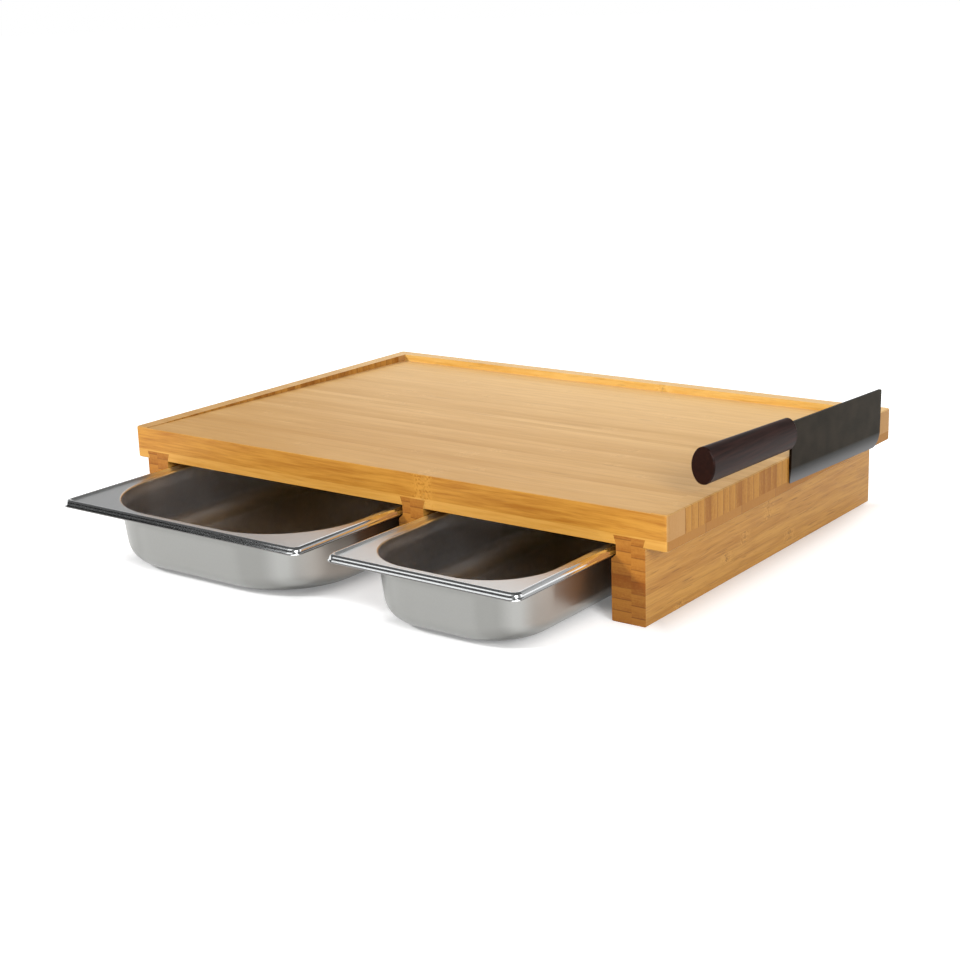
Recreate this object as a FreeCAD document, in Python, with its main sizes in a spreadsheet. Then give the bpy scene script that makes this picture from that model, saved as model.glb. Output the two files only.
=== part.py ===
"""Bamboo cutting board on three rails, with two steel food trays that slide out at the front.

The board is a glued bamboo plate on three rails. Each rail has a dovetail tongue in the plate's
underside and, on the sides that face a tray, a slot under the plate in which the tray's pressed
rim slides. A vegetable knife is held against the plate's right end by magnets buried in the plate.

Frame: millimetres, +Z up, X along the plate's width, the trays slide out towards -Y. The origin is
the middle of the middle rail's foot, on the surface that the board stands on.
"""
import FreeCAD, Part
import math
import os
import Sketcher
from FreeCAD import Vector

SIZES = (
    # plate
    ("board_depth", 380, "front to back"),
    ("board_thickness", 28, "plate without its rails"),
    ("overhang_left", 13, "plate beyond the left rail"),
    ("overhang_right", 18.5, "plate beyond the right rail"),
    ("base_thickness", 8, "lower panel that takes the dovetails"),
    ("edge_strip", 25, "broad strips glued along the front and the back"),
    ("corner_round", 3, "upright corners of the plate"),
    ("edge_ease", 0.8, "sanded edges of the plate"),
    ("rim_width", 14, "raised rim at the left, right and back"),
    ("recess_back", 6.5, "depth of the cutting surface at the back rim"),
    ("recess_front", 0.4, "depth of the cutting surface at the front"),
    # rails
    ("rail_height", 60, "foot to the plate's underside"),
    ("rail_width", 29, "across both of its boards"),
    ("rail_thin_board", 12, "the thinner of the two boards glued into a rail"),
    ("foot_ease", 1, "sanded edges of a rail's foot"),
    ("slot_recess", 4, "how far a tray slot is cut into a rail"),
    ("slot_height", 8, "upright part of a tray slot, over its sloping ledge"),
    ("tongue_height", 6.8, "dovetail tongue above the plate's underside"),
    ("tongue_flare", 2.2, "widening of a tongue on each side"),
    ("tongue_shoulder", 2.2, "step beside a tongue on a rail's plain side"),
    # trays
    ("wide_tray_width", 265, "half of the standard kitchen tray"),
    ("narrow_tray_width", 176, "a third of the standard kitchen tray"),
    ("tray_length", 325, "front to back over the rim"),
    ("tray_height", 54, "top of the rim to the underside of the floor"),
    ("sheet", 0.8, "steel sheet"),
    ("rim_height", 5.5, "turned-down edge of a tray's rim"),
    ("rim_corner", 9, "corners of a tray's rim, seen from above"),
    ("rim_bevel", 1.3, "bevelled top edge of the rim"),
    ("rim_lip", 1, "outward lip at the foot of the rim"),
    ("flange_width", 13.5, "outer edge of the rim to the tray's upright wall"),
    ("wide_tray_corner", 76, "corners of the wide tray's opening"),
    ("narrow_tray_corner", 54, "corners of the narrow tray's opening"),
    ("mouth_bend", 2.4, "bevel between flange and wall, along each of them"),
    ("floor_round", 18, "bend between wall and floor, inside"),
    ("wall_draft", 6, "degrees by which a tray's walls lean in"),
    ("slide_clearance", 1.6, "rim to the rail on each side"),
    ("seat_gap", 0.3, "rim above the sloping ledge"),
    ("wide_tray_drawn", 125, "wide tray's rim in front of the plate"),
    ("narrow_tray_drawn", 122, "narrow tray's rim in front of the plate"),
    # knife
    ("blade_length", 167, "heel to tip"),
    ("blade_height", 50, "edge to spine"),
    ("blade_thickness", 2.2, "at the spine"),
    ("bevel_height", 12, "ground bevel above the edge"),
    ("edge_thickness", 0.3, "at the cutting edge"),
    ("tip_round", 12, "lower corner of the tip"),
    ("heel_round", 1.5, "other corners of the blade"),
    ("handle_length", 140, "blade to butt"),
    ("handle_height", 28.4, "at the butt"),
    ("handle_width", 20, "at the butt"),
    ("handle_nose", 7.8, "radius of the oval section at its top and bottom"),
    ("handle_taper", 0.55, "degrees by which the handle narrows towards the blade"),
    ("handle_axis", 41.6, "handle's middle above the cutting edge"),
    ("neck_bevel_across", 3.6, "bevelled end at the blade, measured across the handle"),
    ("neck_bevel_along", 7, "bevelled end at the blade, measured along the handle"),
    ("butt_bevel", 0.9, "eased edge of the butt"),
    ("tang_length", 95, "part of the blade inside the handle"),
    ("tang_height", 11, "at the blade"),
    ("knife_tip", 26.5, "tip of the blade in front of the plate's back face"),
    ("knife_edge", 6.4, "edge at the heel above the plate's underside"),
    ("knife_tilt", 2.2, "degrees by which the tip hangs lower"),
    # magnets
    ("magnet_length", 30, "along the plate's end"),
    ("magnet_height", 15, "upwards"),
    ("magnet_thickness", 4, "across"),
    ("magnet_cover", 2, "bamboo left between magnet and knife"),
    ("magnet_pitch", 45, "from one magnet to the next"),
    ("magnet_last", 38.5, "last magnet's middle in front of the seam with the back strip"),
    ("magnet_play", 0.2, "pocket larger than the magnet, on each side"),
)
MAGNETS = 3
BEND_BANDS = 7       # narrow bands that make up the bend between a tray's walls and its floor
OVERCUT = 5          # how far a cutting profile runs past the wood that it cuts
TOUCH = 0.01         # points closer than this count as one

doc = FreeCAD.newDocument("CuttingBoard")
sheet = doc.addObject("Spreadsheet::Sheet", "Sizes")
for row, (alias, number, note) in enumerate(SIZES, start=1):
    sheet.set(f"A{row}", alias.replace("_", " "))
    sheet.set(f"B{row}", str(number))
    sheet.set(f"C{row}", note)
    sheet.setAlias(f"B{row}", alias)
doc.recompute()


# ---- places worked out from the sizes, as expressions -------------------------------------------

HALF_RAIL = "(Sizes.rail_width / 2)"
HALF_NECK = f"({HALF_RAIL} - Sizes.slot_recess)"
WIDE_BAY = "(Sizes.wide_tray_width + 2 * Sizes.slide_clearance)"
NARROW_BAY = "(Sizes.narrow_tray_width + 2 * Sizes.slide_clearance)"
LEFT_RAIL = f"(-2 * {HALF_NECK} - {WIDE_BAY})"
RIGHT_RAIL = f"(2 * {HALF_NECK} + {NARROW_BAY})"
PLATE_LEFT = f"({LEFT_RAIL} - {HALF_RAIL} - Sizes.overhang_left)"
PLATE_RIGHT = f"({RIGHT_RAIL} + {HALF_RAIL} + Sizes.overhang_right)"
FRONT = "(-Sizes.board_depth / 2)"
BACK = "(Sizes.board_depth / 2)"
FRONT_SEAM = f"({FRONT} + Sizes.edge_strip)"
BACK_SEAM = f"({BACK} - Sizes.edge_strip)"
TOP_THICKNESS = "(Sizes.board_thickness - Sizes.base_thickness)"
TOP_UNDERSIDE = "(Sizes.rail_height + Sizes.base_thickness)"
LEDGE_AT_RIM = "(Sizes.rail_height - Sizes.slot_height - Sizes.slide_clearance)"
TRAY_TOP = f"({LEDGE_AT_RIM} + Sizes.seat_gap + Sizes.rim_height)"


def value(expression):
    """The number that an expression over the sizes stands for."""
    return float(sheet.evalExpression(expression.replace("Sizes.", "")))


# ---- building blocks ----------------------------------------------------------------------------

def new_body(name, x="0", y="0", z="0"):
    body = doc.addObject("PartDesign::Body", name)
    body.Label = name
    for axis, expression in zip("xyz", (x, y, z)):
        body.setExpression(f".Placement.Base.{axis}", expression)
    return body


def new_sketch(body, role, name, offset="0"):
    """A sketch on one of the body's own origin planes, shifted along the plane's normal."""
    plane = next(item for item in body.Origin.OriginFeatures if item.Role == role)
    sketch = body.newObject("Sketcher::SketchObject", name)
    sketch.AttachmentSupport = (plane, [""])
    sketch.MapMode = "FlatFace"
    sketch.setExpression(".AttachmentOffset.Base.z", offset)
    return sketch


def bind(sketch, kind, place, expression):
    """A dimension of the sketch, tied to an expression."""
    number = sketch.addConstraint(Sketcher.Constraint(kind, *place, value(expression)))
    sketch.setExpression(f"Constraints[{number}]", expression)


def draw_polygon(sketch, corners):
    """A closed outline of straight lines through corners given as pairs of expressions."""
    first = sketch.GeometryCount
    count = len(corners)
    points = [Vector(value(across), value(up), 0) for across, up in corners]
    for index in range(count):
        sketch.addGeometry(Part.LineSegment(points[index], points[(index + 1) % count]))
    for index, (across, up) in enumerate(corners):
        follower = first + (index + 1) % count
        sketch.addConstraint(Sketcher.Constraint("Coincident", first + index, 2, follower, 1))
        bind(sketch, "DistanceX", (first + index, 1), across)
        bind(sketch, "DistanceY", (first + index, 1), up)


def draw_rectangle(sketch, left, right, near, far):
    draw_polygon(sketch, ((left, near), (right, near), (right, far), (left, far)))


def draw_rounded_rectangle(sketch, width, length, corner):
    """A rectangle about the origin with four equal rounded corners."""
    half_width, half_length, radius = value(width) / 2, value(length) / 2, value(corner)
    straight_x, straight_y = half_width - radius, half_length - radius
    normal = Vector(0, 0, 1)
    for quarter, (side_x, side_y) in enumerate(((1, 1), (-1, 1), (-1, -1), (1, -1))):
        circle = Part.Circle(Vector(side_x * straight_x, side_y * straight_y, 0), normal, radius)
        start = quarter * math.pi / 2
        sketch.addGeometry(Part.ArcOfCircle(circle, start, start + math.pi / 2))
    for start, end in (
        ((straight_x, half_length), (-straight_x, half_length)),
        ((-half_width, straight_y), (-half_width, -straight_y)),
        ((-straight_x, -half_length), (straight_x, -half_length)),
        ((half_width, -straight_y), (half_width, straight_y)),
    ):
        sketch.addGeometry(Part.LineSegment(Vector(*start, 0), Vector(*end, 0)))
    for corner_arc in range(4):
        sketch.addConstraint(Sketcher.Constraint("Tangent", corner_arc, 2, 4 + corner_arc, 1))
        sketch.addConstraint(Sketcher.Constraint("Tangent", 4 + corner_arc, 2, (corner_arc + 1) % 4, 1))
    for corner_arc in range(1, 4):
        sketch.addConstraint(Sketcher.Constraint("Equal", 0, corner_arc))
    for flat in (4, 6):
        sketch.addConstraint(Sketcher.Constraint("Horizontal", flat))
    for upright in (5, 7):
        sketch.addConstraint(Sketcher.Constraint("Vertical", upright))
    bind(sketch, "Radius", (0,), corner)
    bind(sketch, "DistanceX", (7, 1), f"{width} / 2")
    bind(sketch, "DistanceX", (5, 1), f"-{width} / 2")
    bind(sketch, "DistanceY", (4, 1), f"{length} / 2")
    bind(sketch, "DistanceY", (6, 1), f"-{length} / 2")


def add_pad(body, sketch, name, length, reverse=False, both_ways=False, taper=None):
    pad = body.newObject("PartDesign::Pad", name)
    pad.Profile = sketch
    pad.setExpression("Length", length)
    pad.Reversed = reverse
    pad.Midplane = both_ways
    if taper:
        pad.setExpression("TaperAngle", taper)
    doc.recompute()
    return pad


def add_pocket(body, sketch, name, length, reverse=False):
    """A cut that has to take material away."""
    before = body.Shape.Volume
    pocket = body.newObject("PartDesign::Pocket", name)
    pocket.Profile = sketch
    pocket.setExpression("Length", length)
    pocket.Reversed = reverse
    doc.recompute()
    if not body.Shape.Volume < before:
        raise RuntimeError(f"{body.Label}: {name} cuts nothing")
    return pocket


def edges_where(feature, test):
    """Names of the feature's edges whose ends and middle all pass the test."""
    names = []
    for number, edge in enumerate(feature.Shape.Edges, start=1):
        middle = edge.valueAt((edge.FirstParameter + edge.LastParameter) / 2)
        points = [vertex.Point for vertex in edge.Vertexes] + [middle]
        if all(test(point) for point in points):
            names.append(f"Edge{number}")
    return names


def add_fillet(body, name, radius, test):
    base = body.Tip
    names = edges_where(base, test)
    fillet = body.newObject("PartDesign::Fillet", name)
    fillet.Base = (base, names)
    fillet.setExpression("Radius", radius)
    doc.recompute()
    return fillet


def add_chamfer(body, name, size, test, other_size=None):
    base = body.Tip
    names = edges_where(base, test)
    chamfer = body.newObject("PartDesign::Chamfer", name)
    chamfer.Base = (base, names)
    chamfer.setExpression("Size", size)
    if other_size:
        chamfer.ChamferType = "Two distances"
        chamfer.setExpression("Size2", other_size)
    doc.recompute()
    return chamfer


def near(number, expression):
    return abs(number - value(expression)) < TOUCH


# ---- plate --------------------------------------------------------------------------------------

def cut_cutting_surface(body):
    """The sloping cutting surface: flush at the front, with a rim at the left, right and back."""
    sketch = new_sketch(body, "YZ_Plane", "surface_profile", f"{PLATE_LEFT} + Sizes.rim_width")
    above = f"{TOP_THICKNESS} + {OVERCUT}"
    outside = f"{FRONT} - {OVERCUT}"
    front_level = f"{TOP_THICKNESS} - Sizes.recess_front"
    draw_polygon(sketch, (
        (outside, front_level),
        (FRONT, front_level),
        (f"{BACK} - Sizes.rim_width", f"{TOP_THICKNESS} - Sizes.recess_back"),
        (f"{BACK} - Sizes.rim_width", above),
        (outside, above),
    ))
    length = f"{PLATE_RIGHT} - {PLATE_LEFT} - 2 * Sizes.rim_width"
    add_pocket(body, sketch, "cutting_surface", length, reverse=True)


def top_piece(name, near_side, far_side):
    """One of the three pieces glued side by side into the plate's upper layer."""
    body = new_body(name, z=TOP_UNDERSIDE)
    sketch = new_sketch(body, "XY_Plane", "outline")
    draw_rectangle(sketch, PLATE_LEFT, PLATE_RIGHT, near_side, far_side)
    add_pad(body, sketch, "panel", TOP_THICKNESS)

    def upright_corner(point):
        at_end = near(point.x, PLATE_LEFT) or near(point.x, PLATE_RIGHT)
        return at_end and (near(point.y, FRONT) or near(point.y, BACK))

    def top_outline(point):
        return near(point.z, TOP_THICKNESS)

    def glue_seam(point):
        return near(point.y, FRONT_SEAM) or near(point.y, BACK_SEAM)

    if edges_where(body.Tip, upright_corner):
        add_fillet(body, "corners", "Sizes.corner_round", upright_corner)
    seams = set(edges_where(body.Tip, glue_seam))
    panel = body.Tip
    outline = [edge for edge in edges_where(panel, top_outline) if edge not in seams]
    ease = body.newObject("PartDesign::Chamfer", "eased_edges")
    ease.Base = (panel, outline)
    ease.setExpression("Size", "Sizes.edge_ease")
    doc.recompute()
    cut_cutting_surface(body)
    return body


def magnet_places():
    """Middle of each magnet along the plate's end, as an expression."""
    last = f"{BACK_SEAM} - Sizes.magnet_last"
    return [f"({last} - {steps} * Sizes.magnet_pitch)" for steps in reversed(range(MAGNETS))]


def core_panel():
    """Upright strips of bamboo glued side by side, with pockets for the magnets."""
    body = top_piece("core_panel", FRONT_SEAM, BACK_SEAM)
    sketch = new_sketch(body, "XY_Plane", "magnet_pockets_outline")
    outer = f"{PLATE_RIGHT} - Sizes.magnet_cover"
    inner = f"{outer} - Sizes.magnet_thickness - 2 * Sizes.magnet_play"
    half = "(Sizes.magnet_length / 2 + Sizes.magnet_play)"
    for middle in magnet_places():
        draw_rectangle(sketch, inner, outer, f"{middle} - {half}", f"{middle} + {half}")
    depth = "Sizes.magnet_height + Sizes.magnet_play"
    add_pocket(body, sketch, "magnet_pockets", depth, reverse=True)
    return body


def base_panel():
    """The plate's lower layer, with a dovetail groove for each rail."""
    body = new_body("base_panel", z="Sizes.rail_height")
    sketch = new_sketch(body, "XZ_Plane", "profile")
    plain = f"({HALF_RAIL} - Sizes.tongue_shoulder)"
    corners = [(PLATE_LEFT, "0")]
    for centre, left, right in (
        (LEFT_RAIL, plain, HALF_NECK),
        ("0", HALF_NECK, HALF_NECK),
        (RIGHT_RAIL, HALF_NECK, plain),
    ):
        corners += [
            (f"{centre} - {left}", "0"),
            (f"{centre} - {left} - Sizes.tongue_flare", "Sizes.tongue_height"),
            (f"{centre} + {right} + Sizes.tongue_flare", "Sizes.tongue_height"),
            (f"{centre} + {right}", "0"),
        ]
    corners += [
        (PLATE_RIGHT, "0"),
        (PLATE_RIGHT, "Sizes.base_thickness"),
        (PLATE_LEFT, "Sizes.base_thickness"),
    ]
    draw_polygon(sketch, corners)
    add_pad(body, sketch, "panel", "Sizes.board_depth", both_ways=True)

    def upright_corner(point):
        at_end = near(point.x, PLATE_LEFT) or near(point.x, PLATE_RIGHT)
        return at_end and (near(point.y, FRONT) or near(point.y, BACK))

    def lower_end(point):
        return near(point.z, "0") and (near(point.x, PLATE_LEFT) or near(point.x, PLATE_RIGHT))

    add_fillet(body, "corners", "Sizes.corner_round", upright_corner)
    add_chamfer(body, "eased_edges", "Sizes.edge_ease", lower_end)
    return body


# ---- rails --------------------------------------------------------------------------------------

def slotted_side(sign):
    """Profile of a rail's side that faces a tray, from the foot up to the top of the tongue."""
    neck = f"{sign} * {HALF_NECK}"
    return [
        (f"{sign} * {HALF_RAIL}", "0"),
        (f"{sign} * {HALF_RAIL}", "Sizes.rail_height - Sizes.slot_height - Sizes.slot_recess"),
        (neck, "Sizes.rail_height - Sizes.slot_height"),
        (neck, "Sizes.rail_height"),
        (f"{sign} * ({HALF_NECK} + Sizes.tongue_flare)", "Sizes.rail_height + Sizes.tongue_height"),
    ]


def plain_side(sign):
    """Profile of a rail's outer side, with a shoulder beside the tongue."""
    mouth = f"({HALF_RAIL} - Sizes.tongue_shoulder)"
    return [
        (f"{sign} * {HALF_RAIL}", "0"),
        (f"{sign} * {HALF_RAIL}", "Sizes.rail_height"),
        (f"{sign} * {mouth}", "Sizes.rail_height"),
        (f"{sign} * ({mouth} + Sizes.tongue_flare)", "Sizes.rail_height + Sizes.tongue_height"),
    ]


def rail_board(name, centre, seam, side):
    """One of the two boards glued into a rail, between the seam and one side's profile."""
    body = new_body(name, x=centre)
    sketch = new_sketch(body, "XZ_Plane", "profile")
    top = "Sizes.rail_height + Sizes.tongue_height"
    draw_polygon(sketch, [(seam, "0")] + side + [(seam, top)])
    add_pad(body, sketch, "board", "Sizes.board_depth", both_ways=True)
    outer = side[0][0]
    add_fillet(body, "eased_foot", "Sizes.foot_ease", lambda p: near(p.x, outer) and near(p.z, "0"))
    return body


def rails():
    seam_left = f"(Sizes.rail_thin_board - {HALF_RAIL})"
    seam_right = f"({HALF_RAIL} - Sizes.rail_thin_board)"
    return [
        rail_board("left_rail_outer", LEFT_RAIL, seam_left, plain_side("-1")),
        rail_board("left_rail_inner", LEFT_RAIL, seam_left, slotted_side("1")),
        rail_board("middle_rail_left", "0", seam_left, slotted_side("-1")),
        rail_board("middle_rail_right", "0", seam_left, slotted_side("1")),
        rail_board("right_rail_inner", RIGHT_RAIL, seam_right, slotted_side("-1")),
        rail_board("right_rail_outer", RIGHT_RAIL, seam_right, plain_side("1")),
    ]


# ---- trays --------------------------------------------------------------------------------------

def add_bowl(body, rim_size, inset, corner, depth, bend):
    """Leaning walls and a bend down to the floor, as tapered pads one below the other.

    The outline is rim_size (width and length) less the inset. The bend is a chain of narrow bands
    turned by equal angles, because round patches at the corners would take most of the part's facets.
    """
    def angle(band):
        return f"(Sizes.wall_draft + {band} * (90 - Sizes.wall_draft) / {BEND_BANDS})"

    def drop(band):
        return f"({depth} - {bend} * (1 - sin({angle(band)})))"

    def shift(band):
        wall_lean = f"{drop(0)} * tan(Sizes.wall_draft)"
        return f"({wall_lean} + {bend} * (cos(Sizes.wall_draft) - cos({angle(band)})))"

    def add_step(name, start, lean_in, length, lean):
        sketch = new_sketch(body, "XY_Plane", f"{name}_outline", f"-{start}")
        width, reach = (f"({size} - 2 * ({inset} + {lean_in}))" for size in rim_size)
        draw_rounded_rectangle(sketch, width, reach, f"({corner} - {lean_in})")
        add_pad(body, sketch, name, length, reverse=True, taper=f"-{lean}")

    add_step("wall", "0", "0", drop(0), "Sizes.wall_draft")
    for band in range(BEND_BANDS):
        length = f"({drop(band + 1)} - {drop(band)})"
        lean = f"({angle(band)} + {angle(band + 1)}) / 2"
        add_step(f"floor_bend_{band + 1}", drop(band), shift(band), length, lean)


def tray(name, width, corner, middle, drawn):
    """A tray pressed from one sheet: flange with a rolled rim, leaning walls and a rounded floor.

    The tray's own frame has its origin on top of the flange, in the middle.
    """
    body = new_body(
        name,
        x=middle,
        y=f"{FRONT} - {drawn} + Sizes.tray_length / 2",
        z=TRAY_TOP,
    )

    rim_size = (width, "Sizes.tray_length")

    def outline(sketch_name, inset, radius, level="0"):
        """A rounded rectangle, inset from the outermost edge of the lip."""
        sketch = new_sketch(body, "XY_Plane", sketch_name, level)
        outline_width, outline_length = (f"({size} - 2 * {inset})" for size in rim_size)
        draw_rounded_rectangle(sketch, outline_width, outline_length, radius)
        return sketch

    def level(expression):
        return lambda point: near(point.z, expression)

    def opening(point):
        """Within the bowl's outline, as opposed to the rim's."""
        half_width = value(f"{width} / 2 - Sizes.flange_width + 2 * Sizes.sheet")
        half_length = value("Sizes.tray_length / 2 - Sizes.flange_width + 2 * Sizes.sheet")
        return abs(point.x) < half_width and abs(point.y) < half_length

    rim = outline("rim_outline", "Sizes.rim_lip", "(Sizes.rim_corner - Sizes.rim_lip)")
    add_pad(body, rim, "rim_block", "Sizes.rim_height", reverse=True)
    add_chamfer(body, "rim_edge", "Sizes.rim_bevel", level("0"))
    lip = outline("lip_outline", "0", "Sizes.rim_corner", "Sizes.sheet - Sizes.rim_height")
    add_pad(body, lip, "lip", "Sizes.sheet", reverse=True)
    inset = "(Sizes.rim_lip + Sizes.sheet)"
    under = outline("rim_hollow_outline", inset, f"(Sizes.rim_corner - {inset})", "-Sizes.rim_height")
    add_pocket(body, under, "rim_hollow", "Sizes.rim_height - Sizes.sheet", reverse=True)

    skin = "(Sizes.flange_width - Sizes.sheet)"
    outer_bend = "(Sizes.floor_round + Sizes.sheet)"
    add_bowl(body, rim_size, skin, f"({corner} + Sizes.sheet)", "Sizes.tray_height", outer_bend)
    under_flange = level("-Sizes.sheet")
    lower_bend = "Sizes.mouth_bend - (2 - sqrt(2)) * Sizes.sheet"
    add_chamfer(body, "lower_mouth_bend", lower_bend, lambda p: under_flange(p) and opening(p))

    space = new_body(f"{name}_inside")
    inner_depth = "(Sizes.tray_height - Sizes.sheet)"
    add_bowl(space, rim_size, "Sizes.flange_width", corner, inner_depth, "Sizes.floor_round")
    hollow = body.newObject("PartDesign::Boolean", "hollow")
    hollow.Type = "Cut"
    hollow.setObjects([space])
    doc.recompute()
    top = level("0")
    add_chamfer(body, "mouth_bend", "Sizes.mouth_bend", lambda p: top(p) and opening(p))
    return body


def trays():
    wide_middle = f"-({HALF_NECK} + {WIDE_BAY} / 2)"
    narrow_middle = f"{HALF_NECK} + {NARROW_BAY} / 2"
    return [
        tray("wide_tray", "Sizes.wide_tray_width", "Sizes.wide_tray_corner", wide_middle,
             "Sizes.wide_tray_drawn"),
        tray("narrow_tray", "Sizes.narrow_tray_width", "Sizes.narrow_tray_corner", narrow_middle,
             "Sizes.narrow_tray_drawn"),
    ]


# ---- knife and its magnets ----------------------------------------------------------------------

def hang_knife_piece(piece):
    """Puts a knife piece, drawn from the heel's cutting edge, against the plate's right end."""
    piece.setExpression(".Placement.Base.x", PLATE_RIGHT)
    piece.setExpression(".Placement.Base.y", f"{BACK} - Sizes.knife_tip - Sizes.blade_length")
    piece.setExpression(".Placement.Base.z", "Sizes.rail_height + Sizes.knife_edge")
    piece.setExpression(".Placement.Rotation.Axis.x", "1")
    piece.setExpression(".Placement.Rotation.Axis.z", "0")
    piece.setExpression(".Placement.Rotation.Angle", "-Sizes.knife_tilt")


def knife_blade():
    """Square-tipped vegetable blade with a ground bevel, and the tang that the handle is fixed on."""
    body = new_body("knife_blade")
    hang_knife_piece(body)
    side = new_sketch(body, "YZ_Plane", "side_view")
    draw_rectangle(side, "0", "Sizes.blade_length", "0", "Sizes.blade_height")
    add_pad(body, side, "blade", "Sizes.blade_thickness")

    def across_at(along, up):
        return lambda point: near(point.y, along) and near(point.z, up)

    add_fillet(body, "tip", "Sizes.tip_round", across_at("Sizes.blade_length", "0"))
    add_fillet(body, "tip_spine", "Sizes.heel_round", across_at("Sizes.blade_length", "Sizes.blade_height"))
    add_fillet(body, "heel", "Sizes.heel_round", across_at("0", "0"))

    slope = "((Sizes.blade_thickness - Sizes.edge_thickness) / 2 / Sizes.bevel_height)"
    below = f"-{OVERCUT}"
    bevels = new_sketch(body, "XZ_Plane", "bevel_profile", f"{OVERCUT}")
    for face, sign in (("0", "-1"), ("Sizes.blade_thickness", "1")):
        ground = f"{face} - {sign} * {slope} * (Sizes.bevel_height + {OVERCUT})"
        outside = f"{face} + {sign} * {OVERCUT}"
        draw_polygon(bevels, (
            (face, "Sizes.bevel_height"),
            (outside, "Sizes.bevel_height"),
            (outside, below),
            (ground, below),
        ))
    add_pocket(body, bevels, "bevels", f"Sizes.blade_length + 2 * {OVERCUT}")

    tang = new_sketch(body, "XZ_Plane", "tang_section")
    half = "(Sizes.tang_height / 2)"
    draw_rectangle(tang, "0", "Sizes.blade_thickness", f"Sizes.handle_axis - {half}",
                   f"Sizes.handle_axis + {half}")
    add_pad(body, tang, "tang", "Sizes.tang_length")
    return body


def draw_oval(sketch, across, up, height, width, nose):
    """An upright oval of four arcs that meet smoothly, with its middle at the place given."""
    reach = f"({height} / 2 - {nose})"
    side = f"(({reach} ^ 2 + ({width} / 2) ^ 2 - {nose} ^ 2) / ({width} - 2 * {nose}))"
    normal = Vector(0, 0, 1)
    middle = Vector(value(across), value(up), 0)
    side_shift = value(f"{side} - {width} / 2")
    meeting = math.atan2(value(reach), side_shift)
    quarter = math.pi / 2
    for turn, (shift_x, shift_y, radius, half_angle) in enumerate((
        (-side_shift, 0, side, meeting),
        (0, value(reach), nose, quarter - meeting),
        (side_shift, 0, side, meeting),
        (0, -value(reach), nose, quarter - meeting),
    )):
        circle = Part.Circle(middle + Vector(shift_x, shift_y, 0), normal, value(radius))
        sketch.addGeometry(
            Part.ArcOfCircle(circle, turn * quarter - half_angle, turn * quarter + half_angle))
    for turn in range(4):
        sketch.addConstraint(Sketcher.Constraint("Tangent", turn, 2, (turn + 1) % 4, 1))
    for turn in (0, 1):
        sketch.addConstraint(Sketcher.Constraint("Equal", turn, turn + 2))
    bind(sketch, "Radius", (1,), nose)
    for turn, end_x, end_y in ((1, across, f"{up} + {reach}"), (3, across, f"{up} - {reach}")):
        bind(sketch, "DistanceX", (turn, 3), end_x)
        bind(sketch, "DistanceY", (turn, 3), end_y)
    bind(sketch, "Radius", (0,), side)


def knife_handle():
    """Oval wooden handle that narrows towards the blade and has a slot for the tang."""
    body = new_body("knife_handle")
    hang_knife_piece(body)
    section = new_sketch(body, "XZ_Plane", "butt_section", "Sizes.handle_length")
    middle = "Sizes.blade_thickness / 2"
    draw_oval(section, middle, "Sizes.handle_axis", "Sizes.handle_height", "Sizes.handle_width",
              "Sizes.handle_nose")
    grip = add_pad(body, section, "grip", "Sizes.handle_length", reverse=True)
    grip.setExpression("TaperAngle", "-Sizes.handle_taper")
    doc.recompute()
    add_chamfer(body, "neck_bevel", "Sizes.neck_bevel_along", lambda p: near(p.y, "0"),
                "Sizes.neck_bevel_across")
    add_chamfer(body, "butt_edge", "Sizes.butt_bevel", lambda p: near(p.y, "-Sizes.handle_length"))
    slot = new_sketch(body, "XZ_Plane", "tang_slot_section")
    half = "(Sizes.tang_height / 2)"
    draw_rectangle(slot, "0", "Sizes.blade_thickness", f"Sizes.handle_axis - {half}",
                   f"Sizes.handle_axis + {half}")
    add_pocket(body, slot, "tang_slot", "Sizes.tang_length", reverse=True)
    return body


def knife_magnets():
    """Bar magnets that stand on the base panel, just inside the core panel's right end."""
    bars = []
    for number, middle in enumerate(magnet_places(), start=1):
        bar = doc.addObject("Part::Box", f"magnet_{number}")
        bar.setExpression("Length", "Sizes.magnet_thickness")
        bar.setExpression("Width", "Sizes.magnet_length")
        bar.setExpression("Height", "Sizes.magnet_height")
        left = f"{PLATE_RIGHT} - Sizes.magnet_cover - Sizes.magnet_play - Sizes.magnet_thickness"
        bar.setExpression(".Placement.Base.x", left)
        bar.setExpression(".Placement.Base.y", f"{middle} - Sizes.magnet_length / 2")
        bar.setExpression(".Placement.Base.z", TOP_UNDERSIDE)
        bars.append(bar)
    group = doc.addObject("Part::Compound", "knife_magnets")
    group.Links = bars
    doc.recompute()
    return group


# ---- the whole object ---------------------------------------------------------------------------

pieces = [
    base_panel(),
    core_panel(),
    top_piece("front_edge_strip", FRONT, FRONT_SEAM),
    top_piece("back_edge_strip", BACK_SEAM, BACK),
    *rails(),
    *trays(),
    knife_magnets(),
    knife_blade(),
    knife_handle(),
]
doc.recompute()

for item in doc.Objects:
    if "Invalid" in item.State or "Error" in item.State:
        raise RuntimeError(f"{item.Label} failed: {item.State}")
for piece in pieces:
    if piece.Shape.isNull() or not piece.Shape.isValid():
        raise RuntimeError(f"{piece.Label} has no valid shape")

os.makedirs("parts", exist_ok=True)
for piece in pieces:
    piece.Shape.exportStep(f"parts/{piece.Label}.step")
    box = piece.Shape.BoundBox
    print(f"{piece.Label}: {len(piece.Shape.Solids)} solid(s), {piece.Shape.Volume / 1000:.1f} cm3, "
          f"x {box.XMin:.1f}..{box.XMax:.1f}, y {box.YMin:.1f}..{box.YMax:.1f}, "
          f"z {box.ZMin:.1f}..{box.ZMax:.1f}")
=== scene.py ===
"""Bamboo cutting board on three rails, with two steel trays drawn out and a knife at its right end."""

import math

import bmesh
import bpy
from mathutils import Matrix, Vector


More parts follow.
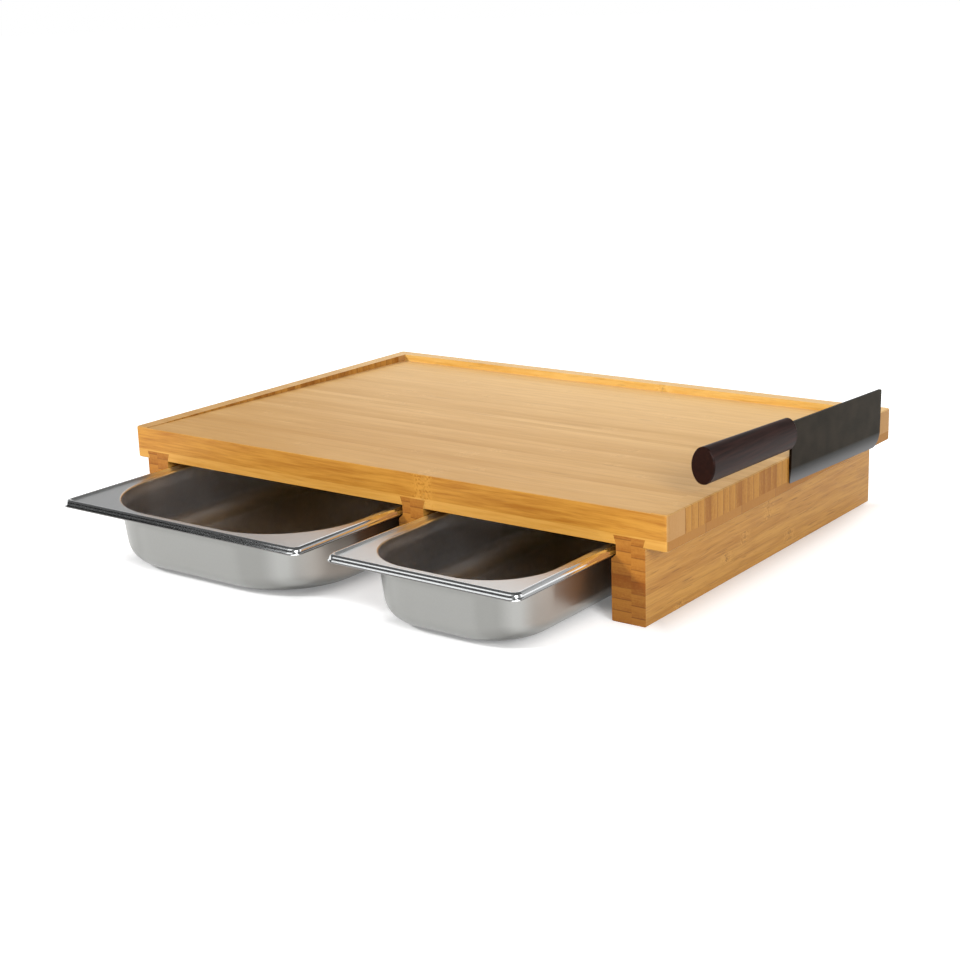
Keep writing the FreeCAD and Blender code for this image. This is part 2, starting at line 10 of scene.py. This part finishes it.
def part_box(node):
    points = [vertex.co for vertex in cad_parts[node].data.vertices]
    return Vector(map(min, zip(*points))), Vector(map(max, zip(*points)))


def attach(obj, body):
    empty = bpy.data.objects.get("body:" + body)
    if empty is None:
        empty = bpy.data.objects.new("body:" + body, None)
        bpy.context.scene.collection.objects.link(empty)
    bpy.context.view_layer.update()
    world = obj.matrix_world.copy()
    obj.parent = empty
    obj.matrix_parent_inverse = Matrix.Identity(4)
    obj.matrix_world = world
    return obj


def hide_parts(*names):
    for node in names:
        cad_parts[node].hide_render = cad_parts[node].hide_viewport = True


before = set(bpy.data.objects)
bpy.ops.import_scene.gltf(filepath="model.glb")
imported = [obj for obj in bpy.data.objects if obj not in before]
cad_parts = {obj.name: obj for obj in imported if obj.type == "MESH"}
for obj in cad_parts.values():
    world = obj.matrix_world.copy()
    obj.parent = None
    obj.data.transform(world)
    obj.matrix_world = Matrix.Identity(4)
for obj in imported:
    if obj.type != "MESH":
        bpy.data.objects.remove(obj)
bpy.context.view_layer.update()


# ---- Core panel ---------------------------------------------------------------------------------
# The plate's upper layer is upright strips of steamed bamboo, about 9 mm wide and as tall as the
# layer, glued side by side and sanded. The fibres run along the board, so the strips show as faint
# lines on the cutting surface and as a row of end grain at the left and right.

class Wire:
    """An output of a shader node. Arithmetic on it adds Math nodes to the same material."""

    def __init__(self, socket):
        self.socket = socket

    def node(self, kind, settings, sockets, output=0):
        """Adds any node: its settings first, then the values and links of its input sockets."""
        tree = self.socket.id_data
        made = tree.nodes.new(kind)
        for name, setting in settings.items():
            setattr(made, name, setting)
        for name, source in sockets.items():
            if isinstance(source, Wire):
                tree.links.new(source.socket, made.inputs[name])
            else:
                made.inputs[name].default_value = source
        return Wire(made.outputs[output])

    def math(self, operation, *others):
        return self.node("ShaderNodeMath", {"operation": operation}, dict(enumerate((self, *others))))

    def __add__(self, other):
        return self.math("ADD", other)

    def __sub__(self, other):
        return self.math("SUBTRACT", other)

    def __mul__(self, other):
        return self.math("MULTIPLY", other)

    def __truediv__(self, other):
        return self.math("DIVIDE", other)

    def __rsub__(self, other):
        return self * -1 + other

    __radd__ = __add__
    __rmul__ = __mul__

    def axis(self, letter):
        """One number of a vector."""
        return self.node("ShaderNodeSeparateXYZ", {}, {"Vector": self}, letter)

    def fade(self, start, end):
        """Rises smoothly from 0 at start to 1 at end."""
        sockets = {"Value": self, "From Min": start, "From Max": end}
        return self.node("ShaderNodeMapRange", {"interpolation_type": "SMOOTHSTEP"}, sockets)

    def scaled(self, scales):
        """A vector stretched by a number for each axis."""
        return self.node("ShaderNodeVectorMath", {"operation": "MULTIPLY"}, {0: self, 1: scales})

    def between(self, first, second):
        """The colour that lies this far from the first to the second."""
        sockets = {0: self}
        for index, colour in ((6, first), (7, second)):
            sockets[index] = colour if isinstance(colour, Wire) else (*colour, 1)
        return self.node("ShaderNodeMix", {"data_type": "RGBA"}, sockets, 2)

    def feed(self, shader, name):
        """Links this output to one of the shader's inputs."""
        self.socket.id_data.links.new(self.socket, shader.inputs[name])


def new_material(name):
    """A material's shader, and the place on the piece and the surface's direction as wires."""
    material = bpy.data.materials.new(name)
    material.use_nodes = True
    coordinates = material.node_tree.nodes.new("ShaderNodeTexCoord")
    shader = material.node_tree.nodes["Principled BSDF"]
    return material, shader, Wire(coordinates.outputs["Object"]), Wire(coordinates.outputs["Normal"])


def dress(node, material):
    """Puts the material in each slot of a CAD node."""
    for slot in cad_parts[node].material_slots:
        slot.material = material


def along(run, fibre, across):
    """Scales for the three axes: one along the fibres and one across them."""
    return tuple(fibre if letter == run else across for letter in "XYZ")


def bamboo(
    name, run, stack, strip, start, top, face, end, spread, figure=0.3, painted_sheen=0.0, knuckle_at=None,
):
    """Glued bamboo: fibres along the run axis, strips of one width side by side along the stack axis.

    Three pairs of a pale and a deep colour are for the faces on which the strips show side by side,
    for the flat face of the outermost strip, and for the end grain. Spread is how much the strips
    differ, figure how strongly the fibres and knuckles are drawn where they show side by side, and
    drift how much lighter the top is painted towards the back and right, as a painted sheen.
    Knuckle_at is where along the run axis a knuckle crosses the whole piece; without it each strip
    has its knuckles at places of its own.
    """
    material, shader, place, direction = new_material(name)
    across = (place.axis(stack) - start) / strip
    number = across.math("FLOOR")
    chance = number.node(
        "ShaderNodeTexWhiteNoise", {"noise_dimensions": "1D"}, {"W": number + 0.5}, "Value")
    within = across.math("FRACT")
    is_end = direction.axis(run).math("ABSOLUTE").fade(0.6, 0.9)
    is_face = direction.axis(stack).math("ABSOLUTE").fade(0.6, 0.9)

    gentle = {"Vector": place.scaled(along(run, 9, 30)), "Scale": 1.0, "Detail": 1.0}
    sway = place.node("ShaderNodeTexNoise", {}, gentle, "Color").scaled((0.006, 0.006, 0.006))
    swayed = place.node("ShaderNodeVectorMath", {"operation": "ADD"}, {0: place, 1: sway})

    def streaks(fibre, wide, detail):
        """Noise drawn out along the fibres, different in each strip."""
        sockets = {
            "Vector": swayed.scaled(along(run, fibre, wide)),
            "W": number * 3.7,
            "Scale": 1.0,
            "Detail": detail,
            "Roughness": 0.65,
        }
        return place.node("ShaderNodeTexNoise", {"noise_dimensions": "4D"}, sockets)

    broad = streaks(8, 110, 3)
    fine = streaks(24, 480, 3)
    dashes = streaks(48, 850, 1).fade(0.58, 0.72)
    lines = streaks(22, 240, 2).fade(0.60, 0.74)
    figured = is_face.between((figure, figure, figure), (0.75, 0.75, 0.75))

    knuckle_pitch = 0.37
    if knuckle_at is None:
        spot = place.axis(run) / knuckle_pitch + chance * 7
    else:
        spot = (place.axis(run) - knuckle_at) / knuckle_pitch + 0.5
    distance = (spot.math("FRACT") - 0.5).math("ABSOLUTE") * knuckle_pitch
    ragged = distance + (fine - 0.5) * 0.016
    knuckle = ragged.fade(0.012, 0.005)
    crumbs = place.node("ShaderNodeTexNoise", {}, {"Vector": place, "Scale": 520.0, "Detail": 2.0})
    ridge = ragged.fade(0.0022, 0.0006) * crumbs.fade(0.4, 0.65)

    streaked = (broad - 0.5) * 0.85 + (fine - 0.5) * (0.25 + figured * 0.75)
    tone = (chance - 0.5) * spread + streaked * (0.22 + figured * 0.68) + 0.5
    lightened = tone + knuckle * figured * ((crumbs - 0.5) * 1.2 + 0.1)
    # Painted sheen: the top is painted lighter towards the back and a little to the right.
    painted_sheen_tone = (place.axis("Y") + place.axis("X") * 0.15) * painted_sheen
    side_by_side = (lightened + painted_sheen_tone).fade(0.2, 0.8).between(top[1], top[0])
    flat = lightened.fade(0.3, 0.7).between(face[1], face[0])
    long_grain = is_face.between(side_by_side, flat)

    slope = (within - 0.5) * (chance.math("GREATER_THAN", 0.4) * 2 - 1)
    third = next(letter for letter in "XYZ" if letter not in (run, stack))
    stretched = {"Vector": place.scaled(along(third, 60, 900)), "Scale": 1.0, "Detail": 2.0}
    ends = place.node("ShaderNodeTexNoise", {}, stretched)
    end_tone = (chance - 0.5) * 0.55 + slope * 0.35 + ends * 0.7 + crumbs * 0.45 - 0.08
    end_grain = end_tone.fade(0.05, 0.95).between(end[1], end[0])
    wood = is_end.between(long_grain, end_grain)

    seam_width = 0.0006
    seam_core = 0.0001
    edge = (within - 0.5).math("ABSOLUTE")
    seam = edge.fade(0.5 - seam_width / strip, 0.5 - seam_core / strip) * (0.15 + chance * 0.85)
    marks = (dashes * figured * 0.38).math("MAXIMUM", lines * 0.16)
    marks = marks.math("MAXIMUM", ridge * figured * 0.6)
    stain = (seam * (0.16 + is_end * 0.5)).math("MAXIMUM", marks * (1 - is_end))
    dark = tuple(part * 0.45 for part in end[1])
    stain.between(wood, dark).feed(shader, "Base Color")
    (0.38 + fine * 0.16 + is_end * 0.14).feed(shader, "Roughness")
    grain = fine * 0.5 - dashes * 0.4 - seam * 0.6 - ridge * figured * 0.5
    sockets = {"Height": grain, "Strength": 0.3, "Distance": 0.0003}
    place.node("ShaderNodeBump", {}, sockets).feed(shader, "Normal")
    shader.inputs["Specular IOR Level"].default_value = 0.35
    return material


core_strip = 0.0094
core_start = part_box("core_panel")[0].y
# The cutting surface's colours are the faces' with a whitish painted sheen mixed in.
board_top_with_sheen = ((0.78, 0.50, 0.21), (0.50, 0.255, 0.062))
board_face = ((0.69, 0.32, 0.042), (0.42, 0.142, 0.006))
# How much lighter the board's top is painted towards the back, as a painted sheen.
board_painted_sheen = 0.85
core = bamboo(
    "bamboo_core", "X", "Y", core_strip, core_start, top=board_top_with_sheen, face=board_face,
    end=((0.48, 0.225, 0.038), (0.29, 0.105, 0.010)), spread=0.10, painted_sheen=board_painted_sheen)
dress("core_panel", core)


# ---- Front and back edge strips -----------------------------------------------------------------
# One broad bamboo strip is glued to the core at the front and one at the back. The front one has the
# warm colour of oiled bamboo, and the back one is yellower. Both have long streaks and the band of a
# knuckle near the middle.

edge_knuckle = 0.011
back_face = ((0.78, 0.49, 0.140), (0.64, 0.33, 0.055))
edge_end = ((0.48, 0.255, 0.085), (0.40, 0.195, 0.052))
for node, face in (("front_edge_strip", board_face), ("back_edge_strip", back_face)):
    low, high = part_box(node)
    edge = bamboo(
        node, "X", "Y", high.y - low.y, low.y, top=board_top_with_sheen, face=face,
        end=edge_end, spread=0.10, painted_sheen=board_painted_sheen, knuckle_at=edge_knuckle)
    dress(node, edge)


# ---- Base panel ---------------------------------------------------------------------------------
# A thinner layer of flat pale strips under the core, with a dovetail groove for each rail.

base_strip = 0.055
base_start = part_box("front_edge_strip")[0].y
base = bamboo(
    "bamboo_base", "X", "Y", base_strip, base_start,
    top=((0.60, 0.33, 0.08), (0.50, 0.24, 0.045)),
    face=((0.76, 0.39, 0.075), (0.60, 0.25, 0.025)),
    end=((0.40, 0.178, 0.033), (0.34, 0.14, 0.022)), spread=0.2, knuckle_at=edge_knuckle)
dress("base_panel", base)


# ---- Rails --------------------------------------------------------------------------------------
# Each rail is two boards glued face to face, and each board is strips glued one on the other. The
# fibres run from front to back, so the front ends show flat bands that don't match at the seam.

rail_strip = 0.0092
rail_side = ((0.56, 0.285, 0.055), (0.39, 0.165, 0.018))
rail_end = ((0.46, 0.183, 0.024), (0.27, 0.074, 0.0035))
for side, board, offset in (
    ("left", "outer", 0.0), ("left", "inner", 0.0031),
    ("middle", "left", 0.0012), ("middle", "right", 0.0046),
    ("right", "inner", 0.0), ("right", "outer", 0.0034),
):
    node = f"{side}_rail_{board}"
    rail = bamboo(
        node, "Y", "Z", rail_strip, -offset, top=rail_side, face=rail_side, end=rail_end,
        spread=0.12, figure=1.0)
    dress(node, rail)


# ---- Trays --------------------------------------------------------------------------------------
# Stainless food trays, each pressed from one sheet: a leaning rim with a bead round its foot, a flat
# flange that lies a little lower than the rim's top, and a bowl with leaning walls and a rounded
# floor. They hang by the rim in the rails' slots.

sheet = 0.0008
rim_height = 0.0055
rim_bead = 0.0023
bead_round = 0.0009
rim_step = 0.0010
crease_round = 0.0003
rim_round = 0.0034
rim_lean = math.radians(15)
rim_width = 0.0050
rim_corner = 0.009
flange_width = 0.0135
flange_drop = 0.0016
drop_round = 0.0008
mouth_round = 0.0016
floor_round = 0.018
wall_draft = math.radians(6)
bend_step = math.radians(11)


def bent_sheet(corners):
    """The sheet's section with round bends: each point's inset, height and upward normal.

    A corner is its inset and height where the flat parts would meet, and the bend's radius on the
    upper side. A flat part runs inwards or down between two bends.
    """
    section = []
    points = [Vector(corner[:2]) for corner in corners]
    for index, point in enumerate(points):
        before = (point - points[index - 1]).normalized() if index else None
        after = (points[index + 1] - point).normalized() if index + 1 < len(points) else None
        if before is None or after is None:
            flat = after or before
            section.append((point, Vector((-flat.y, flat.x))))
            continue
        radius = corners[index][2]
        turn = before.angle_signed(after)
        start = point - before * radius * abs(math.tan(turn / 2))
        normal = Vector((-before.y, before.x))
        centre = start + normal * radius * (-1 if turn > 0 else 1)
        steps = max(3, round(abs(turn) / bend_step))
        for step in range(steps + 1):
            turned = Matrix.Rotation(-turn * step / steps, 2) @ normal
            section.append((centre + turned * radius * (1 if turn > 0 else -1), turned))
    return section


def rounded_outline(half, inset, height, radius, steps=14):
    """Points round a rectangle with round corners, seen from above."""
    outline = []
    for quarter, (sign_x, sign_y) in enumerate(((1, 1), (-1, 1), (-1, -1), (1, -1))):
        middle_x = sign_x * (half.x - inset - radius)
        middle_y = sign_y * (half.y - inset - radius)
        for step in range(steps + 1):
            angle = math.radians(90) * (quarter + step / steps)
            reach_x = radius * math.cos(angle)
            reach_y = radius * math.sin(angle)
            outline.append((middle_x + reach_x, middle_y + reach_y, height))
    return outline


def pressed_tray(node, mouth_corner):
    """The whole tray as one closed mesh, from rings along the sheet's upper and lower skin."""
    low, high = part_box(node)
    half = (high - low) / 2
    depth = high.z - low.z - sheet
    above_bead = rim_height - rim_bead
    rim_head = rim_step + above_bead * math.tan(rim_lean)
    floor_inset = flange_width + depth * math.tan(wall_draft)
    section = bent_sheet((
        (rim_bead, -rim_height, 0),
        (0, -rim_height, bead_round),
        (0, -above_bead - rim_step, bead_round),
        (rim_step, -above_bead, crease_round),
        (rim_head, 0, rim_round),
        (rim_width, 0, drop_round),
        (rim_width + flange_drop, -flange_drop, drop_round),
        (flange_width, -flange_drop, mouth_round),
        (floor_inset, -depth, floor_round),
        (floor_inset + 2 * floor_round, -depth, 0),
    ))
    skins = [(place, 0) for place in section] + [(place, sheet) for place in reversed(section)]
    mesh = bmesh.new()
    rings = []
    for (point, normal), under in skins:
        inset, height = point - normal * under
        # The rim has small corners of its own. Further in, the corners follow the mouth's.
        if point.x < flange_width / 2:
            radius = rim_corner - inset
        else:
            radius = mouth_corner + flange_width - inset
        places = rounded_outline(half, inset, height, radius)
        rings.append([mesh.verts.new(place) for place in places])
    for ring, following in zip(rings, rings[1:] + rings[:1]):
        # The middle of the floor is one face in each skin.
        if ring is rings[len(section) - 1]:
            mesh.faces.new(ring)
            mesh.faces.new(list(reversed(following)))
            continue
        for index in range(len(ring)):
            mesh.faces.new((ring[index - 1], ring[index], following[index], following[index - 1]))
    for face in mesh.faces:
        face.smooth = True
    bmesh.ops.recalc_face_normals(mesh, faces=mesh.faces)
    data = bpy.data.meshes.new(f"{node}_sheet")
    mesh.to_mesh(data)
    mesh.free()
    tray = bpy.data.objects.new(f"{node}_sheet", data)
    tray.location = ((low.x + high.x) / 2, (low.y + high.y) / 2, high.z)
    bpy.context.scene.collection.objects.link(tray)
    tray.modifiers.new("flat_faces_stay_flat", "WEIGHTED_NORMAL").keep_sharp = True
    return tray


def tray_steel(name, half, depth, lit_corner):
    """Bright satin steel, with a rim of high polish, fine rolling lines and painted light.

    The outside is painted far darker than the inside, as painted shade for its dimmer reflections,
    and brownish towards the sides as a painted reflection of the wood. It has a painted highlight in
    an upright band at each corner, with painted shade in a band beside it and under the rim. Inside,
    bands round the floor bend and below the mouth are painted lighter as highlights, and the bead's
    lower edge is painted dark as shade. Lit_corner is how far sideways the wall faces where the
    corner highlight is painted, from 0 at the front and back to 1 at the sides.
    """
    material, shader, place, direction = new_material(name)
    reach_x = place.axis("X").math("ABSOLUTE") - (half.x - rim_width)
    reach_y = place.axis("Y").math("ABSOLUTE") - (half.y - rim_width)
    reach = reach_x.math("MAXIMUM", reach_y)
    rim = reach.fade(-0.0003, 0.0005)
    # Painted shade: the bead's lower, outward-facing edge is painted dark.
    painted_shade_bead_edge = reach.fade(rim_width - 0.0012, rim_width - 0.0008) * direction.axis("Z").fade(0.5, 0.3)
    rolling = place.node(
        "ShaderNodeTexNoise", {}, {"Vector": place.scaled((800, 22, 800)), "Scale": 1.0, "Detail": 2.0})
    cloudy = place.node("ShaderNodeTexNoise", {}, {"Vector": place, "Scale": 12.0, "Detail": 2.0})

    height = place.axis("Z")
    wall = height.fade(-0.004, -0.008)
    facing = {0: place.scaled((1, 1, 0)), 1: direction}
    outwards = place.node("ShaderNodeVectorMath", {"operation": "DOT_PRODUCT"}, facing, "Value")
    outside = outwards.fade(0.0, 0.01) * wall
    # Painted highlights: bands round the floor bend and just below the mouth, inside only, are painted
    # lighter. They are also made rougher.
    bend = (height + depth - 0.0075).math("ABSOLUTE").fade(0.0060, 0.0005)
    below_mouth = (height + 0.009).math("ABSOLUTE").fade(0.0050, 0.0005)
    painted_highlight_bands = (bend + below_mouth * 0.6) * (1 - outside)

    (0.25 + rolling * 0.10 + cloudy * 0.06 + painted_highlight_bands * 0.12 - rim * 0.19).feed(shader, "Roughness")
    brightness = cloudy * 0.6 + rolling * 0.4
    bright = brightness.between((0.81, 0.82, 0.82), (0.91, 0.92, 0.92))
    inside = wall.between(bright, brightness.between((0.79, 0.80, 0.82), (0.89, 0.90, 0.92)))
    sideways = direction.axis("X").math("ABSOLUTE")
    # Painted highlight: an upright band at each corner of the outside is painted lighter, with painted
    # shade in a band beside it.
    painted_corner_highlight = sideways.fade(lit_corner - 0.17, lit_corner)
    painted_corner_highlight = painted_corner_highlight * sideways.fade(lit_corner + 0.13, lit_corner)
    painted_flank_shade = sideways.fade(lit_corner - 0.55, lit_corner - 0.33)
    painted_flank_shade = painted_flank_shade * sideways.fade(lit_corner - 0.10, lit_corner - 0.28)
    # Painted shade: the outside is painted darker just under the rim.
    painted_shade_under_rim = height.fade(-0.018, -0.005)
    pale = brightness * 0.7 + painted_corner_highlight * 0.8 - painted_flank_shade * 0.5 - painted_shade_under_rim * 0.9
    # Painted shade: the whole outside is painted far darker than the inside, for its dimmer reflections.
    outside_with_painted_light = pale.between((0.27, 0.27, 0.257), (0.365, 0.365, 0.352))
    # Painted reflection: towards the sides the outside is painted brownish, for the wood it reflects.
    outside_with_painted_light = (sideways.fade(lit_corner, 1.0) * 0.5).between(outside_with_painted_light, (0.42, 0.34, 0.28))
    skin = outside.between(inside, outside_with_painted_light)
    # The rim's own polish, plus the painted highlight bands inside.
    rim_polish_and_painted_bands = (painted_highlight_bands * 0.4 + rim * 0.8).between(skin, (0.93, 0.95, 0.96))
    # The bead's lower edge gets its painted shade here.
    painted_shade_bead_edge.between(rim_polish_and_painted_bands, (0.16, 0.155, 0.15)).feed(shader, "Base Color")
    shader.inputs["Metallic"].default_value = 1.0
    sockets = {"Height": cloudy, "Strength": 0.15, "Distance": 0.004}
    place.node("ShaderNodeBump", {}, sockets).feed(shader, "Normal")
    return material


for node, mouth_corner, lit_corner in (("wide_tray", 0.076, 0.62), ("narrow_tray", 0.054, 0.79)):
    tray = pressed_tray(node, mouth_corner)
    low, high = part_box(node)
    steel = tray_steel(f"{node}_steel", (high - low) / 2, high.z - low.z, lit_corner)
    tray.data.materials.append(steel)
    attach(tray, node)
    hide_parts(node)


# ---- Knife blade --------------------------------------------------------------------------------
# Dark forged steel with a ground and polished bevel along the cutting edge.

material, shader, place, _ = new_material("dark_blade_steel")
tilt = math.radians(2.2)
heel_y = -0.0035
heel_z = 0.0664
above_edge = (place.axis("Z") - heel_z) * math.cos(tilt) + (place.axis("Y") - heel_y) * math.sin(tilt)
bevel = above_edge.fade(0.0130, 0.0100)
polish = above_edge.fade(0.0120, -0.0010)
scratches = place.node(
    "ShaderNodeTexNoise", {}, {"Vector": place.scaled((200, 60, 1400)), "Scale": 1.0, "Detail": 2.0})
mottled = place.node("ShaderNodeTexNoise", {}, {"Vector": place, "Scale": 60.0, "Detail": 4.0})
patchy = (mottled * 0.8 + scratches * 0.2).fade(0.3, 0.7)
forged = patchy.between((0.0120, 0.0085, 0.0060), (0.0250, 0.0180, 0.0130))
ground = (polish + scratches * 0.3 - 0.15).between((0.034, 0.034, 0.035), (0.17, 0.17, 0.175))
bevel.between(forged, ground).feed(shader, "Base Color")
(0.34 + scratches * 0.1 - bevel * 0.04).feed(shader, "Roughness")
shader.inputs["Metallic"].default_value = 1.0
shader.inputs["Specular Tint"].default_value = (0.68, 0.68, 0.66, 1)
dress("knife_blade", material)


# ---- Knife handle -------------------------------------------------------------------------------
# Oval handle of a dense, nearly black wood, rubbed with oil.

material, shader, place, direction = new_material("dark_handle_wood")
figure = place.node(
    "ShaderNodeTexNoise", {}, {"Vector": place.scaled((420, 18, 420)), "Scale": 1.0, "Detail": 4.0})
butt = direction.axis("Y").fade(-0.8, -0.95)
side_wood = figure.fade(0.3, 0.75).between((0.012, 0.0045, 0.0035), (0.034, 0.0135, 0.0105))
end_wood = figure.fade(0.2, 0.8).between((0.013, 0.0040, 0.0025), (0.021, 0.0065, 0.0040))
butt.between(side_wood, end_wood).feed(shader, "Base Color")
(0.32 + figure * 0.16).feed(shader, "Roughness")
shader.inputs["IOR"].default_value = 1.35
shader.inputs["Specular IOR Level"].default_value = 0.12
sockets = {"Height": figure, "Strength": 0.15, "Distance": 0.0002}
place.node("ShaderNodeBump", {}, sockets).feed(shader, "Normal")
dress("knife_handle", material)


# ---- Magnets ------------------------------------------------------------------------------------
# Nickel-plated bars in the core panel, out of sight behind 2 mm of bamboo.

material, shader, place, _ = new_material("magnet_nickel")
plating = place.node("ShaderNodeTexNoise", {}, {"Vector": place, "Scale": 300.0})
plating.between((0.55, 0.54, 0.52), (0.66, 0.65, 0.62)).feed(shader, "Base Color")
(0.2 + plating * 0.1).feed(shader, "Roughness")
shader.inputs["Metallic"].default_value = 1.0
dress("knife_magnets", material)


# ---- Studio -------------------------------------------------------------------------------------
# White paper on the floor and white surroundings, a lamp at the front right, one at the front left
# and a low one behind. Only the front right one is seen in the steel. Dark cards show only in
# reflections: they draw the dark lines in the polished rims, and the gap between the front and the
# top one draws the bright line.

def seen_itself(tree):
    """1 for the rays that show a surface itself, and 0 for those that carry its light to others."""
    rays = tree.nodes.new("ShaderNodeLightPath").outputs
    seen = Wire(rays["Is Camera Ray"]).math("MAXIMUM", Wire(rays["Is Glossy Ray"]))
    return seen.math("MAXIMUM", Wire(rays["Is Transmission Ray"]))


# The paper looks white by itself, but less so within a few centimetres of the object, where the
# shadow it stands in has to show.
bpy.ops.mesh.primitive_plane_add(size=60, location=(0, 0, 0))
floor = bpy.context.object
floor.name = "studio_floor"
material, shader, place, _ = new_material("studio_paper")
shader.inputs["Base Color"].default_value = (0.80, 0.80, 0.80, 1)
shader.inputs["Roughness"].default_value = 0.9
shader.inputs["Specular IOR Level"].default_value = 0.0
gaps = []
for node, inwards in (("base_panel", 0.015), ("wide_tray", 0.030), ("narrow_tray", 0.030)):
    low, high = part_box(node)
    gap_x = (place.axis("X") - (low.x + high.x) / 2).math("ABSOLUTE") - ((high.x - low.x) / 2 - inwards)
    gap_y = (place.axis("Y") - (low.y + high.y) / 2).math("ABSOLUTE") - ((high.y - low.y) / 2 - inwards)
    gaps.append(gap_x.math("MAXIMUM", gap_y))
clear = gaps[0].math("MINIMUM", gaps[1]).math("MINIMUM", gaps[2]).fade(-0.015, 0.030)
far_away = place.node("ShaderNodeVectorMath", {"operation": "LENGTH"}, {0: place}, "Value").fade(0.4, 1.2)
around = clear.between((0.12, 0.12, 0.12), (0.56, 0.56, 0.56))
whiteness = far_away.between(around, (1.0, 1.0, 1.0))
seen_itself(material.node_tree).between((0, 0, 0), whiteness).feed(shader, "Emission Color")
shader.inputs["Emission Strength"].default_value = 1.0
floor.data.materials.append(material)

world = bpy.data.worlds.new("studio_world")
world.use_nodes = True
bpy.context.scene.world = world
backdrop = world.node_tree.nodes["Background"]
seen_itself(world.node_tree).between((0.42, 0.42, 0.42), (1.0, 1.0, 1.0)).feed(backdrop, "Color")


def soft_lamp(name, towards, distance, size, brightness, in_gloss=False):
    """A square lamp that lights a white surface at the origin facing it to the brightness given."""
    lamp = bpy.data.lights.new(name, "AREA")
    lamp.size = size
    lamp.energy = brightness * math.pi ** 2 * distance ** 2
    holder = bpy.data.objects.new(name, lamp)
    bpy.context.scene.collection.objects.link(holder)
    holder.location = Vector(towards).normalized() * distance
    holder.rotation_euler = Vector(towards).to_track_quat("Z", "Y").to_euler()
    holder.visible_glossy = in_gloss


soft_lamp("lamp_front_right", (1.0, -0.65, 0.55), distance=2.4, size=0.8, brightness=0.52, in_gloss=True)
soft_lamp("lamp_front_left", (-0.8, -1.0, 0.85), distance=3.2, size=0.4, brightness=0.70)
soft_lamp("lamp_back", (0.1, 1.0, 0.7), distance=1.4, size=0.7, brightness=0.30)


def dark_card(name, left, right, near, far, glow=0.0, turn=0):
    """A card from left to right, with its near and far edges each at a distance back and a height.

    Glow is its own brightness. Turn is how many degrees it's then moved round the object, as seen
    from above.
    """
    material, shader, _, _ = new_material(name)
    shader.inputs["Base Color"].default_value = (0.01, 0.01, 0.01, 1)
    shader.inputs["Roughness"].default_value = 1.0
    shader.inputs["Specular IOR Level"].default_value = 0.0
    shader.inputs["Emission Color"].default_value = (glow, glow, glow, 1)
    shader.inputs["Emission Strength"].default_value = 1.0
    data = bpy.data.meshes.new(name)
    data.from_pydata([(left, *near), (right, *near), (right, *far), (left, *far)], [], [(0, 1, 2, 3)])
    data.materials.append(material)
    card = bpy.data.objects.new(name, data)
    bpy.context.scene.collection.objects.link(card)
    card.rotation_euler.z = math.radians(turn)
    card.visible_camera = False
    card.visible_diffuse = False
    card.visible_shadow = False


dark_card("card_front", -2.6, 0.6, (-1.90, 0.02), (-1.50, 0.92), glow=0.06)
dark_card("card_front_left", -2.6, -1.25, (-1.50, 0.92), (-0.85, 1.39))
dark_card("card_top", -2.6, 1.2, (-0.85, 1.39), (0.93, 1.08), glow=0.08)
dark_card("card_right", -2.0, 3.2, (-2.80, 0.02), (-1.80, 3.60), glow=0.20, turn=50)
dark_card("card_back", -0.6, 1.8, (1.30, 0.40), (1.30, 2.00), glow=0.42)
dark_card("card_back_left", -3.4, -1.4, (1.20, 0.02), (1.20, 1.50), glow=0.46)


# ---- Camera -------------------------------------------------------------------------------------
# It stands at the front right, a little above the board, and leans sideways by about two degrees.

azimuth, elevation, roll = math.radians(37.735), math.radians(15.596), math.radians(-2.092)
distance = 1.5153
target = Vector((-0.0534, -0.0551, 0.0385))
backward = Vector((
    math.sin(azimuth) * math.cos(elevation),
    -math.cos(azimuth) * math.cos(elevation),
    math.sin(elevation),
))
level_right = Vector((math.cos(azimuth), math.sin(azimuth), 0))
level_up = backward.cross(level_right)
right = level_right * math.cos(roll) + level_up * math.sin(roll)
up = level_up * math.cos(roll) - level_right * math.sin(roll)
camera = bpy.data.objects.new("camera", bpy.data.cameras.new("camera"))
bpy.context.scene.collection.objects.link(camera)
facing = Matrix((right, up, backward)).transposed().to_4x4()
camera.matrix_world = Matrix.Translation(target + backward * distance) @ facing
camera.data.sensor_width = 36
camera.data.lens = 65.1
camera.data.shift_x = 0.018
camera.data.shift_y = 0.00375
camera.data.clip_end = 100
bpy.context.scene.camera = camera
bpy.context.scene.view_settings.view_transform = "Standard"
